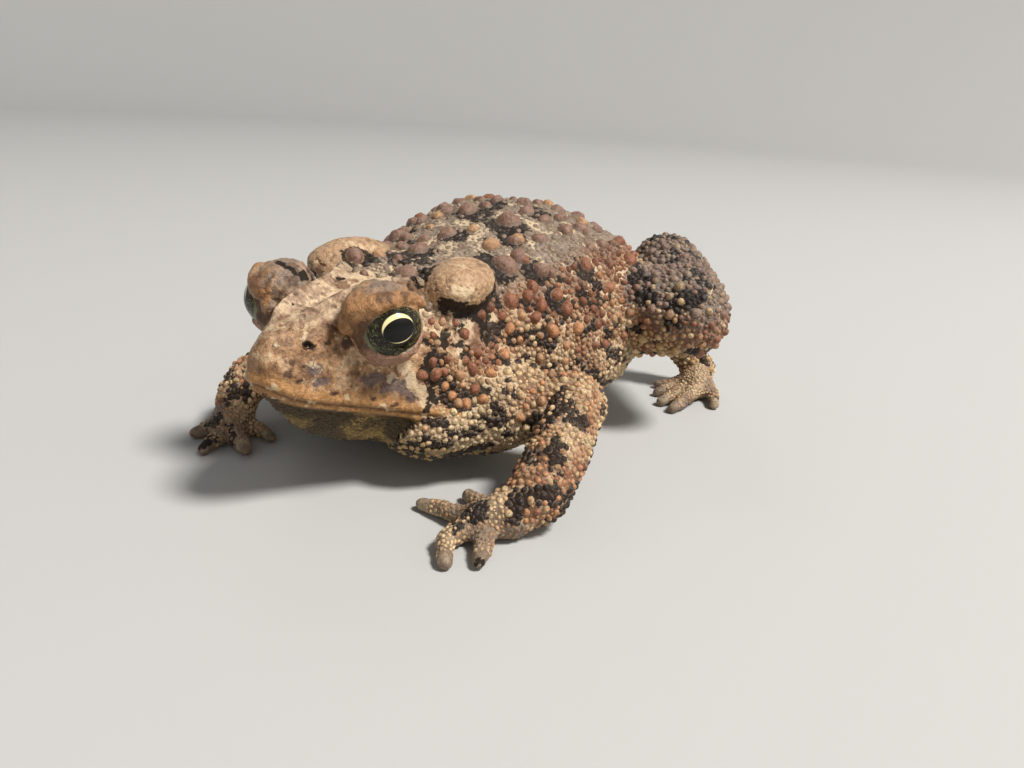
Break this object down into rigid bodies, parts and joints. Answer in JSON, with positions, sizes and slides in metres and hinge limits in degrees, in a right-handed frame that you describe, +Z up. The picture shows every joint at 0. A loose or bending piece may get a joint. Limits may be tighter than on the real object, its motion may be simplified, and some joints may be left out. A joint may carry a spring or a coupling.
{
  "type": "american toad",
  "caption": "Life-size still model of a warty toad resting on its hands and hind feet, head up, elbows out, hind legs folded.",
  "frame": {"origin": "centre of the bounding box, on the floor", "axes": "+Z up, the toad faces -Y and its left side is +X"},
  "size_m": [0.0714, 0.0869, 0.0344],
  "materials": {
    "head": "satin, warty skin",
    "trunk": "satin, warty skin",
    "eye_l": "wet gloss, black pupil in a dark iris flecked with gold",
    "eye_r": "wet gloss, black pupil in a dark iris flecked with gold",
    "upper_arm_l": "satin, warty skin",
    "upper_arm_r": "satin, warty skin",
    "forearm_l": "satin, warty skin",
    "forearm_r": "satin, warty skin",
    "hand_l": "satin, finely granular skin",
    "hand_r": "satin, finely granular skin",
    "thigh_l": "satin, warty skin",
    "thigh_r": "satin, warty skin",
    "shank_l": "satin, warty skin",
    "shank_r": "satin, warty skin",
    "foot_l": "satin, finely granular skin",
    "foot_r": "satin, finely granular skin"
  },
  "bodies": {
    "root": {"head": "head", "trunk": "trunk", "eye_l": "eye_l", "eye_r": "eye_r", "upper_arm_l": "upper_arm_l", "upper_arm_r": "upper_arm_r", "forearm_l": "forearm_l", "forearm_r": "forearm_r", "hand_l": "hand_l", "hand_r": "hand_r", "thigh_l": "thigh_l", "thigh_r": "thigh_r", "shank_l": "shank_l", "shank_r": "shank_r", "foot_l": "foot_l", "foot_r": "foot_r"}
  },
  "joints": []
}
